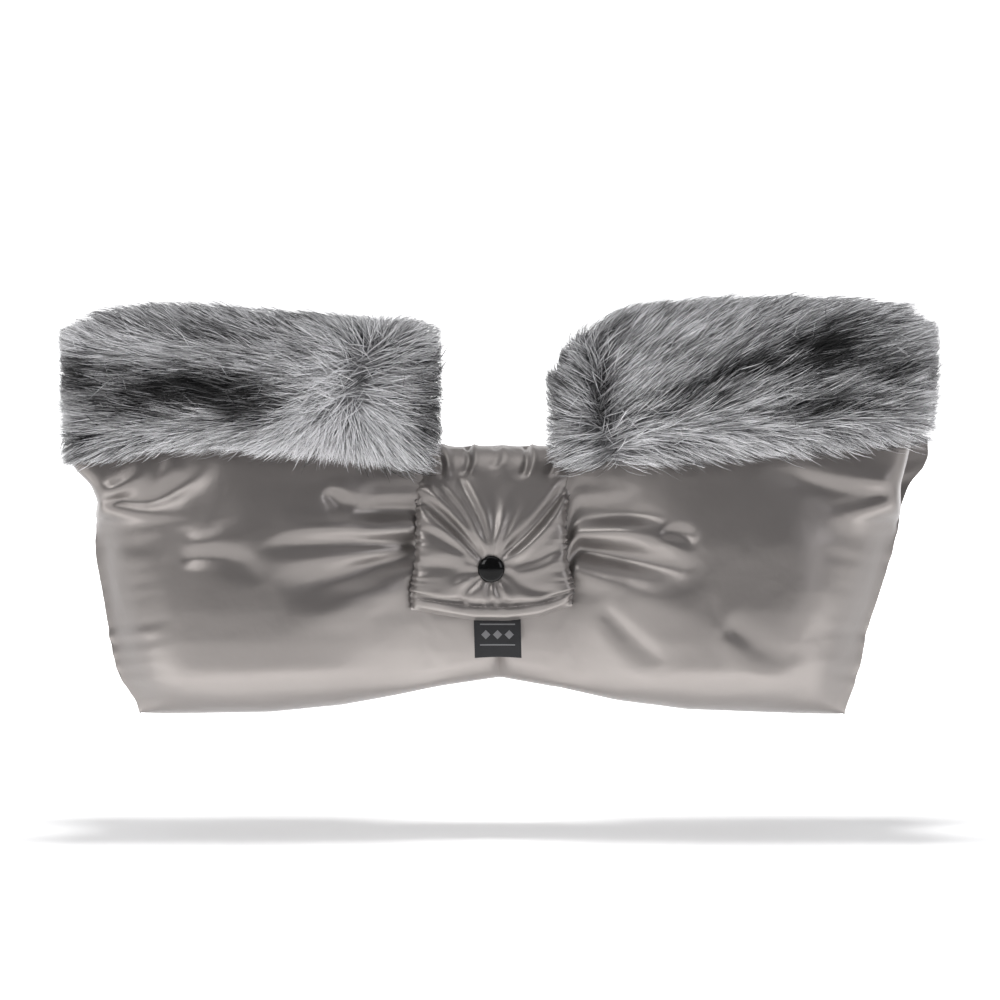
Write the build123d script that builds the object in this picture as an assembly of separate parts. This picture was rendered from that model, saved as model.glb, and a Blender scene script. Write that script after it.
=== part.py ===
from build123d import *
import math
import os

# Padded hand muff that hangs on a pushchair's handlebar. Millimetres.
# The origin is on the handlebar's axis, in the middle. X runs along the bar, -Y is the front, +Z is up.
# The muff is two padded pouches, left and right, joined by a seam in the plane x = 0. Hands go in
# between the fur cuffs from above, and the bar lies along the pouches, under the snap strap.

# ---- handlebar and strap ----
BAR_R = 15.0                    # radius of the grip that the strap closes round
STRAP_X = -4.0                  # middle of the strap, a little left of the centre seam
STRAP_W = 82.0
STRAP_BOTTOM = -72.0
STRAP_SKIN = 1.0                # outer fabric and lining
STRAP_PAD = 6.0                 # wadding between them
TAIL_BOTTOM = -48.0             # end of the tail that is sewn to the back
TAIL_GAP = 0.4                  # the swinging part starts this far above the tail
SADDLE_Z = -1.0                 # below this height the strap leaves the bar
LEG_TOP_Z = -12.5               # below this height it lies on the pouch walls

# ---- pouch walls, from the outside in ----
SHELL_T = 1.2
WADDING_T = 8.0
LINING_T = 1.3
TAPE_T = 0.8
TOP_Z = 17.0                    # the fur seam, where the walls end
CENTRE_HALF = 27.0              # half depth of the gathered middle, under the strap
PLATEAU = 47.0                  # the middle is flat out to this x
BELLY_X = 135.0
NOTCH_HALF = 46.5
NOTCH_Z = -14.5                 # the walls end here between the cuffs
NOTCH_CORNER_R = 1.4
SLIT_R = BAR_R + 2.5            # side slit, where the bar leaves
SLIT_INNER_X = 150.0            # the slit is cut from here out to the side seam
BINDING_T = 1.2
TAPE_HALF = 7.0
TAPE_FOLD_Z = -92.0             # below this the folded seam allowances fill the tape
HOLLOW_RISE = 25.0              # the hollow is cut this far past the walls' top edge

# The levels of a pouch, bottom to top: height at the centre seam, tilt in degrees, x of the side
# seam, and the half depths at the centre seam, the belly and the side seam.
LEVELS = [
    (-108.5, 5.2, 205.0, 5.0, 7.0, 3.0),
    (-105.0, 5.0, 210.0, 12.0, 21.0, 4.0),
    (-94.0, 4.2, 215.0, 21.0, 35.0, 5.0),
    (-72.0, 2.8, 219.0, CENTRE_HALF, 45.0, 6.0),
    (-42.0, 1.2, 224.0, CENTRE_HALF, 49.0, 11.0),
    (-13.0, 0.0, 228.0, CENTRE_HALF, 46.0, 28.0),
    (3.0, 0.0, 232.0, CENTRE_HALF, 42.0, 29.0),
    (TOP_Z, 0.0, 238.0, CENTRE_HALF, 39.0, 30.0),
]
LOW_LEVEL = -90.0               # levels below this rise with the wall's thickness

# ---- fur cuffs ----
CUFF_X0 = 47.0                  # inner end of the dense pile
CUFF_X1 = 246.0
CUFF_GAP = 0.4
CUFF_TOP = 104.0
CUFF_OUT = 57.0                 # outer face of the pile
CUFF_IN = 17.0                  # inner face, which lines the mouth
CUFF_PAD_T = 9.0                # backing and wadding inside the folded fur
CUFF_PILE = 16.0                # dense pile over the backing
CUFF_END_R = 12.0

# ---- press stud ----
SNAP_X = -5.0
SNAP_Z = -45.0
CAP_R = 7.5
CAP_H = 3.4
CAP_SEAT = 1.0                  # the cap sinks this far into the padding
SHANK_R = 2.0
HOLE_CLEAR = 0.1
SOCKET_R = 6.5
SOCKET_T = 3.0
SOCKET_HOLLOW_R = 5.6
SOCKET_WEB_T = 0.8
STUD_BASE_R = 4.8
STUD_BASE_T = 0.5
STUD_HEAD_R = 2.0
STUD_HEAD_H = 1.4
POST_R = 4.4
POST_T = 0.8
POST_SHANK_R = 1.5

# ---- label ----
LABEL_X0, LABEL_X1 = -14.6, 11.8
LABEL_TOP, LABEL_BOTTOM = -66.0, -95.0
LABEL_T = 0.9

STRAP_T = STRAP_PAD + 2 * STRAP_SKIN
LEG_Y = CENTRE_HALF + 0.9       # inner face of the strap where it lies on the walls
STUD_FACE = -CENTRE_HALF - 0.2  # the stud's base, on the wall's slight bulge
LINED = SHELL_T + WADDING_T + LINING_T
REACH = 600.0                   # longer than anything in the muff


def block(x0, x1, y0, y1, z0, z1):
    """A box between two corners."""
    centre = ((x0 + x1) / 2, (y0 + y1) / 2, (z0 + z1) / 2)
    return Pos(*centre) * Box(abs(x1 - x0), abs(y1 - y0), abs(z1 - z0))


def rod_y(radius, y0, y1):
    """A round solid along Y at the press stud."""
    return Pos(SNAP_X, (y0 + y1) / 2, SNAP_Z) * Rot(90, 0, 0) * Cylinder(radius, abs(y1 - y0))


def other_side(solid):
    """The same piece on the other side of the centre seam."""
    return mirror(solid, about=Plane.YZ)


def largest(shape):
    """The biggest solid of a shape, without the slivers that a cut leaves."""
    return max(shape.solids(), key=lambda solid: solid.volume)


# ---- pouches ----
def level_face(level, inset):
    """One level of the left pouch, set in by inset from its outer face."""
    height, tilt, side, centre, belly, seam = level
    rise = inset if height < LOW_LEVEL else 0.0
    lean = math.radians(tilt)
    plane = Plane((0, 0, height + rise), x_dir=(math.cos(lean), 0, math.sin(lean)),
                  z_dir=(-math.sin(lean), 0, math.cos(lean)))
    end = (-side + 1.6 * inset, max(seam - inset, 1.2))
    middle = max(centre - inset, 1.6)
    crown = (-BELLY_X, max(belly - inset, 2.2))
    shoulder = (-0.55 * PLATEAU - 0.45 * BELLY_X, middle + 0.66 * (crown[1] - middle))
    flank = (-0.45 * BELLY_X + 0.55 * end[0], end[1] + 0.80 * (crown[1] - end[1]))
    back = Spline((-PLATEAU, middle), shoulder, crown, flank, end)
    front = mirror(back, about=Plane.XZ)
    outline = [
        Line((0, -middle), (0, middle)),
        Line((0, middle), (-PLATEAU, middle)),
        back,
        Line(end, (end[0], -end[1])),
        front,
        Line((-PLATEAU, -middle), (0, -middle)),
    ]
    return plane * make_face(outline)


def pouch_body(inset):
    """The left pouch as a solid, set in by inset. A set-in one runs on past the top edge."""
    faces = [level_face(level, inset) for level in LEVELS]
    if inset > 0:
        faces.append(Pos(0, 0, HOLLOW_RISE) * level_face(LEVELS[-1], inset))
    return loft(faces)


def slit_cut(radius):
    """The side slit: round under the bar and open to the top."""
    outline = Circle(radius) + Pos(0, REACH / 4) * Rectangle(2 * radius, REACH / 2)
    side = Plane.YZ * outline
    return Pos(-REACH / 2 - SLIT_INNER_X, 0, 0) * extrude(side, REACH / 2)


def notch_cut():
    """The gap between the cuffs, down to the top of the gathered middle."""
    gap = Pos(0, NOTCH_Z + REACH / 4) * Rectangle(2 * NOTCH_HALF, REACH / 2)
    gap = fillet(gap.vertices().group_by(Axis.Y)[0], NOTCH_CORNER_R)
    return extrude(Plane.XZ * gap, REACH / 2, both=True)


def make_pouch():
    """Shell, wadding sheets, lining and slit binding of the left pouch, and half of the seam tape."""
    outer = pouch_body(0)
    under_shell = pouch_body(SHELL_T)
    under_wadding = pouch_body(SHELL_T + WADDING_T)
    hollow = pouch_body(LINED)
    under_tape = pouch_body(LINED + TAPE_T)
    opening = slit_cut(SLIT_R) + notch_cut()
    wide_slit = slit_cut(SLIT_R + BINDING_T)
    wall_cut = wide_slit + notch_cut()
    tape_band = block(-TAPE_HALF, 0, -REACH, REACH, -REACH, NOTCH_Z)
    tape_hollow = under_tape & block(-TAPE_HALF, 0, -REACH, REACH, TAPE_FOLD_Z, NOTCH_Z)
    wadding = under_shell - under_wadding - wall_cut
    pieces = {
        "shell": outer - under_shell - wall_cut,
        "wadding_front": largest(split(wadding, Plane.XZ, Keep.TOP)),
        "wadding_back": largest(split(wadding, Plane.XZ, Keep.BOTTOM)),
        "lining": under_wadding - hollow - wall_cut,
        "slit_binding": (outer - hollow) & (wide_slit - opening),
        "seam_tape": (hollow & tape_band) - tape_hollow,
    }
    top = block(-REACH, 0, -REACH, REACH, TOP_Z, REACH)
    return {name: piece - top for name, piece in pieces.items()}


# ---- fur cuffs, made for the front left and mirrored ----
def cuff_slab(outer_y, inner_y, top, end_inset):
    """A padded slab that stands on the fur seam, with a round top and round ends."""
    thick = outer_y - inner_y
    radius = thick / 2 - 0.5
    z0 = TOP_Z + CUFF_GAP
    profile = Pos((outer_y + inner_y) / -2, (z0 + top) / 2) * Rectangle(thick, top - z0)
    profile = fillet(profile.vertices().group_by(Axis.Y)[-1], radius)
    length = CUFF_X1 - CUFF_X0 - 2 * end_inset
    slab = Pos(-CUFF_X1 + end_inset, 0, 0) * extrude(Plane.YZ * profile, length)
    end_r = min(CUFF_END_R, 0.4 * thick)
    return fillet(slab.edges().filter_by(Axis.Z), end_r)


def make_cuff():
    """Folded fur band and the wadding inside it."""
    fur = cuff_slab(CUFF_OUT, CUFF_IN, CUFF_TOP, 0)
    middle = (CUFF_OUT + CUFF_IN) / 2
    pad = cuff_slab(middle + CUFF_PAD_T / 2, middle - CUFF_PAD_T / 2, CUFF_TOP - CUFF_PILE, CUFF_PILE)
    return {"fur_cuff": fur - pad, "cuff_wadding": pad}


# ---- strap ----
def strap_layer(inner, thick, start_z, end_z):
    """One layer of the strap: from the back, over the bar, and down the front.

    inner is its distance from the strap's inner face."""
    r0 = BAR_R + inner
    r1 = r0 + thick
    y0 = LEG_Y + inner
    y1 = y0 + thick
    over = Pos(0, REACH / 4) * Rectangle(REACH, REACH / 2)
    ring = (Circle(r1) - Circle(r0)) & over
    leg = Polygon((-r1, 0), (-r1, SADDLE_Z), (-y1, LEG_TOP_Z), (-y1, end_z),
                  (-y0, end_z), (-y0, LEG_TOP_Z), (-r0, SADDLE_Z), (-r0, 0), align=None)
    top = ring + leg
    clear = Pos(REACH / 4, start_z - REACH / 4) * Rectangle(REACH / 2, REACH / 2)
    top = top - clear
    band = extrude(Plane.YZ * top, STRAP_W)
    return Pos(STRAP_X - STRAP_W / 2, 0, 0) * band


def make_tail():
    """The strap's sewn end, flat on the back of the pouches."""
    profile = Polygon((BAR_R, 0), (BAR_R, SADDLE_Z), (LEG_Y, LEG_TOP_Z), (LEG_Y, TAIL_BOTTOM),
                      (LEG_Y + STRAP_T, TAIL_BOTTOM), (LEG_Y + STRAP_T, LEG_TOP_Z),
                      (BAR_R + STRAP_T, SADDLE_Z), (BAR_R + STRAP_T, 0), align=None)
    return Pos(STRAP_X - STRAP_W / 2, 0, 0) * extrude(Plane.YZ * profile, STRAP_W)


def make_strap():
    """Outer fabric, wadding and lining of the swinging part."""
    hole = rod_y(SHANK_R + HOLE_CLEAR, -LEG_Y - STRAP_T - 1, -LEG_Y + 1)
    outer_face = -LEG_Y - STRAP_T
    cap_seat = rod_y(CAP_R + HOLE_CLEAR, outer_face - 1, outer_face + CAP_SEAT)
    socket_seat = rod_y(SOCKET_R + HOLE_CLEAR, -LEG_Y - SOCKET_T, -LEG_Y + 1)
    lining = strap_layer(0, STRAP_SKIN, TAIL_GAP, STRAP_BOTTOM)
    wadding = strap_layer(STRAP_SKIN, STRAP_PAD, TAIL_GAP, STRAP_BOTTOM)
    skin = strap_layer(STRAP_SKIN + STRAP_PAD, STRAP_SKIN, TAIL_GAP, STRAP_BOTTOM)
    return {
        "strap_shell": skin - hole - cap_seat,
        "strap_wadding": wadding - hole - socket_seat,
        "strap_lining": lining - socket_seat,
    }


def make_label():
    """Woven label, sewn into the strap's hem in place of a strip of its lining."""
    face = -LEG_Y - STRAP_SKIN
    return block(LABEL_X0, LABEL_X1, face, face + LABEL_T, LABEL_BOTTOM, LABEL_TOP)


# ---- press stud ----
def make_snap_cap():
    """Domed cap with the shank that holds the socket behind the strap."""
    face = -LEG_Y - STRAP_T + CAP_SEAT
    sphere_r = (CAP_R ** 2 + CAP_H ** 2) / (2 * CAP_H)
    ball = Pos(SNAP_X, face - CAP_H + sphere_r, SNAP_Z) * Sphere(sphere_r)
    dome = ball & rod_y(CAP_R, face - CAP_H - 1, face)
    shank = rod_y(SHANK_R, face, -LEG_Y - SOCKET_T + SOCKET_WEB_T)
    return dome + shank


def make_snap_socket():
    """Shallow cup with a rolled rim, open towards the stud."""
    back = -LEG_Y - SOCKET_T
    cup = rod_y(SOCKET_R, back, -LEG_Y)
    hollow = rod_y(SOCKET_HOLLOW_R, back + SOCKET_WEB_T, -LEG_Y + 1)
    return cup - hollow - rod_y(SHANK_R, back - 1, -LEG_Y + 1)


def make_snap_stud():
    """Base and head on the front of the pouch, with the hole for its post."""
    base = rod_y(STUD_BASE_R, STUD_FACE - STUD_BASE_T, STUD_FACE)
    head = rod_y(STUD_HEAD_R, STUD_FACE - STUD_BASE_T - STUD_HEAD_H, STUD_FACE - STUD_BASE_T)
    return base + head


def make_snap_post():
    """Disc inside the shell, with the shank that holds the stud."""
    disc_face = -CENTRE_HALF + SHELL_T + HOLE_CLEAR
    disc = rod_y(POST_R, disc_face, disc_face + POST_T)
    return disc + rod_y(POST_SHANK_R, STUD_FACE, disc_face)


def main():
    post_end = -CENTRE_HALF + SHELL_T + POST_T + 2 * HOLE_CLEAR
    post_room = rod_y(POST_R + HOLE_CLEAR, STUD_FACE, post_end)
    post_hole = rod_y(POST_SHANK_R + HOLE_CLEAR, STUD_FACE - 1, post_end)
    left = make_pouch()
    parts = {}
    for name in ("shell", "wadding_front", "wadding_back", "lining", "slit_binding"):
        parts[name + "_left"] = left[name]
        parts[name + "_right"] = other_side(left[name])
    parts["shell_left"] = parts["shell_left"] - post_hole
    parts["wadding_front_left"] = parts["wadding_front_left"] - post_room
    parts["centre_seam_tape"] = left["seam_tape"] + other_side(left["seam_tape"])

    for name, piece in make_cuff().items():
        back = mirror(piece, about=Plane.XZ)
        parts[name + "_front_left"] = piece
        parts[name + "_front_right"] = other_side(piece)
        parts[name + "_back_left"] = back
        parts[name + "_back_right"] = other_side(back)

    parts.update(make_strap())
    parts["strap_tail"] = make_tail()
    parts["snap_cap"] = make_snap_cap()
    parts["snap_socket"] = make_snap_socket()
    parts["snap_stud"] = make_snap_stud()
    parts["snap_post"] = make_snap_post()
    label = make_label()
    parts["strap_lining"] = parts["strap_lining"] - label
    parts["woven_label"] = label

    os.makedirs("parts", exist_ok=True)
    for name, piece in parts.items():
        export_step(piece, f"parts/{name}.step")


main()
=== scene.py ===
"""Looks of a padded pushchair hand muff: nylon pouches, faux-fur cuffs, snap strap and woven label."""
import math

import bmesh
import bpy
import numpy as np
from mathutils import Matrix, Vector


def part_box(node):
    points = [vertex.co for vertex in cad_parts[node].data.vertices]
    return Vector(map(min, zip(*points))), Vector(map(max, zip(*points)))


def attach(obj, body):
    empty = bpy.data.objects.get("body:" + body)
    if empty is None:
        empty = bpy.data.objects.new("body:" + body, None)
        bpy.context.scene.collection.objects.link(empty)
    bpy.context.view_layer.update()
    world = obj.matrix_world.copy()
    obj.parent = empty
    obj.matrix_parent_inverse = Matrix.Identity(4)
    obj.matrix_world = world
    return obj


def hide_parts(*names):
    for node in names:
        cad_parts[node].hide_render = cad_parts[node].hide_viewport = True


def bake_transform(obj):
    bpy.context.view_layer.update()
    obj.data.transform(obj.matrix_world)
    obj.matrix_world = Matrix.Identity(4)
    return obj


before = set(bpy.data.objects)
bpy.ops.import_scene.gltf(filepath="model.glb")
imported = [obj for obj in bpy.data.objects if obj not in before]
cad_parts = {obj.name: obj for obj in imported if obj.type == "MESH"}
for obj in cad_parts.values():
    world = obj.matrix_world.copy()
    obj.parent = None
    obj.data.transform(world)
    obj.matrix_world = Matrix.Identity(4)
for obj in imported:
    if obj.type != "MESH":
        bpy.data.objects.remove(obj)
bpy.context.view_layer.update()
MM = 0.001
SIDES = {"left": -1, "right": 1}


# ---------------------------------------------------------------- places read from the frame, in mm
def box_mm(node):
    low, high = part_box(node)
    return np.array(low) / MM, np.array(high) / MM


STRAP_LOW, STRAP_HIGH = box_mm("strap_shell")
TAIL_LOW = box_mm("strap_tail")[0]
LABEL_LOW, LABEL_HIGH = box_mm("woven_label")
CAP_LOW, CAP_HIGH = box_mm("snap_cap")
STRAP_X = (STRAP_LOW[0] + STRAP_HIGH[0]) / 2
STRAP_HALF = (STRAP_HIGH[0] - STRAP_LOW[0]) / 2
SNAP = np.array([(CAP_LOW[0] + CAP_HIGH[0]) / 2, CAP_LOW[1], (CAP_LOW[2] + CAP_HIGH[2]) / 2])


# ---------------------------------------------------------------- small helpers
def smooth(a, b, x):
    """0 below a, 1 above b, and a smooth rise between."""
    u = np.clip((x - a) / (b - a), 0, 1)
    return u * u * (3 - 2 * u)


def cubic(points, samples):
    """A smooth curve through points, sampled evenly by parameter (Catmull-Rom)."""
    p = np.asarray(points, float)
    p = np.vstack([2 * p[0] - p[1], p, 2 * p[-1] - p[-2]])
    u = np.linspace(0, len(p) - 3 - 1e-9, samples)
    k = u.astype(int)
    f = (u - k)[:, None]
    a, b, c, d = p[k], p[k + 1], p[k + 2], p[k + 3]
    square = 2 * a - 5 * b + 4 * c - d
    cube = 3 * b - a - 3 * c + d
    return 0.5 * (2 * b + (c - a) * f + square * f ** 2 + cube * f ** 3)


def even(points, count):
    """The same line, with count points at equal distances along it."""
    p = np.asarray(points, float)
    s = np.r_[0, np.cumsum(np.linalg.norm(np.diff(p, axis=0), axis=1))]
    u = np.linspace(0, s[-1], count)
    return np.stack([np.interp(u, s, p[:, i]) for i in range(p.shape[1])], 1)


def unit(vectors, least=1e-6):
    """Vectors scaled to length 1. One shorter than least is divided by least."""
    return vectors / np.maximum(np.linalg.norm(vectors, axis=-1, keepdims=True), least)


def grid_faces(rows, columns, flip=False):
    """Quads of a rows by columns grid of points."""
    i, j = np.meshgrid(np.arange(rows - 1), np.arange(columns - 1), indexing="ij")
    a = (i * columns + j).ravel()
    quads = np.stack([a, a + 1, a + columns + 1, a + columns], 1)
    return quads[:, ::-1] if flip else quads


def new_mesh(name, verts_mm, faces, material=None):
    """A smooth-shaded mesh object from points in mm."""
    mesh = bpy.data.meshes.new(name)
    mesh.from_pydata((np.asarray(verts_mm) * MM).tolist(), [], np.asarray(faces).tolist())
    mesh.update()
    mesh.shade_smooth()
    obj = bpy.data.objects.new(name, mesh)
    bpy.context.scene.collection.objects.link(obj)
    if material:
        mesh.materials.append(material)
    return obj


def coords(obj):
    """An object's points in mm."""
    co = np.empty(len(obj.data.vertices) * 3)
    obj.data.vertices.foreach_get("co", co)
    return co.reshape(-1, 3) / MM


def set_coords(obj, co):
    obj.data.vertices.foreach_set("co", (co * MM).ravel())
    obj.data.update()


def weld(obj, distance):
    """Joins points closer than distance, in mm, and turns every face outwards."""
    bm = bmesh.new()
    bm.from_mesh(obj.data)
    bmesh.ops.remove_doubles(bm, verts=bm.verts, dist=distance * MM)
    bmesh.ops.recalc_face_normals(bm, faces=bm.faces)
    bm.to_mesh(obj.data)
    bm.free()


def waves(x, seed, count=6, low=0.02, high=0.12):
    """Smooth pseudo-random waves along one coordinate, about -1 to 1."""
    rng = np.random.default_rng(seed)
    total = np.zeros_like(np.asarray(x, float))
    for _ in range(count):
        turned = 2 * math.pi * rng.uniform(low, high) * x
        total += np.sin(turned + rng.uniform(0, 6.28)) * rng.uniform(0.5, 1)
    return total / count * 1.4


def relax(obj, rest_mm, pins, frames, pressure, bend=0.4, cap=12.0):
    """Cloth simulation of one sheet whose cut size is rest_mm. Pinned points are held, and no point moves
    more than cap, in mm."""
    start = coords(obj)
    group = obj.vertex_groups.new(name="pins")
    for weight in np.unique(pins):
        if weight > 0:
            group.add(np.flatnonzero(pins == weight).tolist(), float(weight), "REPLACE")
    obj.shape_key_add(name="Basis")
    key = obj.shape_key_add(name="cut")
    key.data.foreach_set("co", (rest_mm * MM).ravel())
    key.value = 0.0
    cloth = obj.modifiers.new("cloth", "CLOTH")
    s = cloth.settings
    s.quality = 6
    s.mass = 0.05
    s.air_damping = 6.0
    s.tension_stiffness = s.compression_stiffness = 25.0
    s.shear_stiffness = 6.0
    s.bending_model = "ANGULAR"
    s.bending_stiffness = bend
    s.tension_damping = s.compression_damping = 8.0
    s.bending_damping = 0.8
    s.vertex_group_mass = "pins"
    s.pin_stiffness = 1.0
    s.rest_shape_key = key
    s.use_pressure = True
    s.uniform_pressure_force = pressure
    s.effector_weights.gravity = 0.0
    cloth.collision_settings.use_collision = False
    cloth.collision_settings.use_self_collision = False
    cloth.point_cache.frame_start = 1
    cloth.point_cache.frame_end = frames + 1
    for number in range(1, frames + 1):
        bpy.context.scene.frame_set(number)
    evaluated = obj.evaluated_get(bpy.context.evaluated_depsgraph_get())
    result = np.empty(len(start) * 3)
    evaluated.data.vertices.foreach_get("co", result)
    result = result.reshape(-1, 3) / MM
    obj.modifiers.remove(cloth)
    obj.shape_key_clear()
    obj.vertex_groups.remove(group)
    bpy.context.scene.frame_set(1)
    step = result - start
    far = np.linalg.norm(step, axis=1, keepdims=True)
    step *= np.minimum(1.0, cap / np.maximum(far, 1e-6))
    set_coords(obj, start + step)


def soften(grid, times, amount):
    """Averages each inner point of a grid with its neighbours, by amount (0 to 1) at that point."""
    for _ in range(times):
        mean = (grid[:-2, 1:-1] + grid[2:, 1:-1] + grid[1:-1, :-2] + grid[1:-1, 2:]) / 4
        grid[1:-1, 1:-1] += amount[1:-1, 1:-1, None] * (mean - grid[1:-1, 1:-1])
    return grid


# ---------------------------------------------------------------- pouch surface
# Side seams and bottom edges as (height, |x|) and (|x|, height), in mm.
SIDE_LINE = {
    ("left", "front"): [(-128, 202), (-121, 205), (-108, 214), (-92, 218), (-66, 222), (-38, 227),
                        (-8, 226), (2, 232), (10, 240), (17, 245), (42, 243)],
    ("right", "front"): [(-128, 193), (-118, 197), (-98, 203), (-84, 205), (-60, 213), (-37, 220),
                         (-15, 224), (2, 227), (17, 231), (42, 236)],
    ("left", "back"): [(-128, 202), (-121, 205), (-108, 214), (-92, 218), (-66, 222), (-38, 227),
                       (-8, 226), (2, 229), (17, 234), (42, 238)],
    ("right", "back"): [(-128, 193), (-118, 197), (-98, 203), (-84, 205), (-60, 213), (-37, 220),
                        (-15, 225), (2, 236), (10, 243), (17, 246), (42, 244)],
}
BOTTOM_LINE = {
    "left": [(0, -109), (34, -114), (56, -118.5), (95, -125), (140, -129), (206, -130)],
    "right": [(0, -109), (34, -115), (67, -122), (112, -127.5), (157, -129), (200, -130.5)],
}
# Half depths as (height, y), at the widest place and beside the centre seam.
DEPTHS = [(-131, 27), (-122, 35), (-112, 41.5), (-100, 46.5), (-86, 49.5), (-68, 50), (-30, 48), (-13, 45),
          (3, 41.5), (17, 39), (42, 36)]
CENTRE_DEPTHS = [(-130, 12), (-108, 14), (-92, 20), (-74, 26), (-60, 27), (42, 27)]
LINING_DEPTH = 10.5                          # from the nylon to the lining's inner face
LIP_RADIUS = 17.6                            # half width of the side slit
# Lower edge of the fur as (|x|, height). The nylon runs on a little way behind it.
FUR_EDGE = {
    ("left", "front"): [(35, 26), (44, 25), (51, 14), (56, 13), (95, 20), (146, 25), (179, 24.5), (218, 18),
                        (246, 18)],
    ("right", "front"): [(28, 26), (37, 24), (46, 16), (56, 14), (93, 18), (145, 22), (198, 26), (226, 32),
                         (246, 35)],
    ("left", "back"): [(35, 15), (60, 16), (140, 20), (246, 19)],
    ("right", "back"): [(35, 15), (60, 16), (140, 20), (246, 22)],
}
TUCK = 5.0                                   # how far the nylon runs up behind the fur's edge
NOTCH_X = {"left": 46.5, "right": 41.5}      # where each pouch steps down beside the strap
NOTCH_Z = -14.0                              # height of the wall's edge under the strap
LEVELS = np.linspace(-130, 42, 60)           # heights where the wall's outline is worked out
WALL_ROWS = 116             # rows of one nylon wall, from the fur seam to the fold
WALL_COLUMNS = 156
LINING_ROWS = 48
LINING_COLUMNS = 60
TOP_POINTS = 90                              # points along each top binding, and along a slit's binding
SLIT_POINTS = 140


def line_at(points, x):
    p = np.array(points, float)
    return np.interp(x, p[:, 0], p[:, 1])


def pouch_grid(side, face, inset, columns, rows):
    """Points of one pouch wall, [row, column], top row first, set in by inset. Rows end at the fold."""
    is_outer = inset < 5
    level = np.empty((len(LEVELS), columns, 2))
    for k, z in enumerate(LEVELS):
        end_x = line_at(SIDE_LINE[side, face], z) + 4.0 * (1 - smooth(-20, 4, z)) - 1.1 * inset
        depth = line_at(DEPTHS, z) - inset
        middle = max(line_at(CENTRE_DEPTHS, z) - inset, 1.5)
        lip = math.sqrt(max(0.0, LIP_RADIUS ** 2 - min(0.0, z) ** 2))
        blunt = 5 + 15 * smooth(-34, -8, z)
        end_y = lip + 0.03
        corner_y = max(end_y + blunt - inset * 0.9, end_y + 1.0)
        crease = min(7.0, middle - 1.0) * (1 - smooth(-98, -76, z)) * is_outer
        curve = cubic([(0, middle - crease), (7, middle - 0.25 * crease), (24, middle), (44, middle),
                       (68, middle + 0.34 * (depth - middle)),
                       (98, middle + 0.8 * (depth - middle)), (135, depth),
                       (min(172, end_x - 46), 0.97 * depth),
                       (end_x - 24, corner_y + 0.62 * max(depth - corner_y, 0)),
                       (end_x - 5, corner_y), (end_x, end_y)], 200)
        level[k] = even(curve, columns)
    sign = -1 if face == "front" else 1
    out = np.empty((rows, columns, 3))
    for j in range(columns):
        x_low = np.interp(-112, LEVELS, level[:, j, 0])
        bottom = line_at(BOTTOM_LINE[side], x_low) + inset
        x_top = level[-1, j, 0]
        edge = line_at(FUR_EDGE[side, face], x_top) + TUCK * is_outer
        top = NOTCH_Z + (edge - NOTCH_Z) * smooth(NOTCH_X[side] - 8, NOTCH_X[side] + 4, x_top)
        z = bottom + (top - bottom) * np.sin(np.linspace(0, math.pi / 2, 120))
        x = np.interp(z, LEVELS, level[:, j, 0])
        y = np.interp(z, LEVELS, level[:, j, 1])
        radius = max(6.0, 0.56 * np.interp(bottom + 30, LEVELS, level[:, j, 1]))
        y = y * np.sqrt(1 - (1 - np.clip((z - bottom) / radius, 0, 1)) ** 2)
        out[:, j] = even(np.stack([x * SIDES[side], sign * y, z], 1)[::-1], rows)
    return out


# Long soft folds of each front wall, worked in before the cloth settles: start and end as |x| and z,
# sag of the middle, depth (a valley if positive), and half width.
FOLDS = {
    "left": [
        ((43, -35), (128, -58), -2, 6.0, 7.0),
        ((43, -22), (146, -24), 1.5, -3.4, 5.5),
        ((43, -14), (88, -16), 2, 3.6, 5.0),
        ((96, -2), (84, -14), 0, 3.2, 4.5),
        ((43, -30), (150, -31), 1.0, 3.0, 3.6),
        ((218, -7), (160, 14), 5, 3.6, 5.0),
        ((214, -5), (186, 17), 3, 2.6, 4.0),
        ((220, -9), (178, -5), 2, 2.6, 4.5),
        ((175, -38), (128, -52), -6, 2.4, 6.0),
    ],
    "right": [
        ((41, -34), (120, -46), -2, 5.5, 7.0),
        ((41, -27), (95, -24), 1.5, -3.2, 4.5),
        ((41, -17), (104, -19), 2.5, 3.6, 4.5),
        ((41, -10), (92, -8), 2, 2.6, 4.5),
        ((92, -24), (112, -30), 2, 3.2, 4.0),
        ((214, -1), (150, 12), 4, 3.0, 5.0),
        ((216, -4), (170, -8), 2, 2.6, 4.5),
        ((60, -70), (104, -104), -3, 2.2, 6.0),
        ((130, -78), (175, -98), -3, 2.0, 7.0),
    ],
}


def fold_offsets(x, z, folds):
    """How far a point at |x|, z is pushed in by the folds, in mm."""
    total = np.zeros_like(x)
    for start, end, sag, depth, width in folds:
        a, b = np.array(start, float), np.array(end, float)
        run = b - a
        length = np.hypot(*run)
        along = ((x - a[0]) * run[0] + (z - a[1]) * run[1]) / length ** 2
        across = ((x - a[0]) * -run[1] + (z - a[1]) * run[0]) / length
        across = across - sag * np.sin(np.pi * np.clip(along, 0, 1))
        spread = width * (0.7 + 0.9 * np.clip(along, 0, 1))
        fade = smooth(-0.12, 0.04, along) * (1 - smooth(0.5, 1.08, along))
        valley = np.exp(-(across / spread) ** 2)
        ridge = np.exp(-((across + 1.9 * spread) / (1.3 * spread)) ** 2)
        total += depth * fade * (valley - 0.45 * ridge)
    return total


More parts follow.
